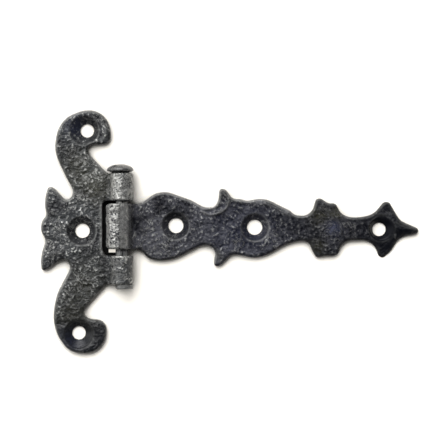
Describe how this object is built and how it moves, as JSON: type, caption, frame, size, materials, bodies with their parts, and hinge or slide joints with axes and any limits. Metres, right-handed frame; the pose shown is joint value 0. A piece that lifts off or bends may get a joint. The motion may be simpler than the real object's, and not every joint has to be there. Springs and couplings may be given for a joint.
{
  "type": "strap hinge",
  "caption": "Ornamental cast-iron strap hinge: scrolled frame leaf, long tapering strap leaf with a spear tip, domed hinge pin.",
  "frame": {"origin": "on the flat back plane of both leaves, straight behind the hinge pin's axis, between the two frame knuckles", "axes": "+X along the strap toward its tip, +Y along the pin toward its domed head, +Z out of the front"},
  "size_m": [0.1402, 0.0905, 0.0104],
  "materials": {
    "frame_leaf_iron": "weathered black, speckled",
    "strap_leaf_iron": "weathered black, speckled",
    "pin_iron": "worn satin"
  },
  "bodies": {
    "frame_side": {"frame_leaf": "frame_leaf_iron", "hinge_pin": "pin_iron"},
    "strap_side": {"strap_leaf": "strap_leaf_iron"}
  },
  "joints": [
    {"name": "leaf_swing", "type": "hinge", "parent": "frame_side", "child": "strap_side", "pos_m": [0, 0, 0.00545], "axis": [0, -1, 0], "range_deg": [-101, 188]}
  ]
}
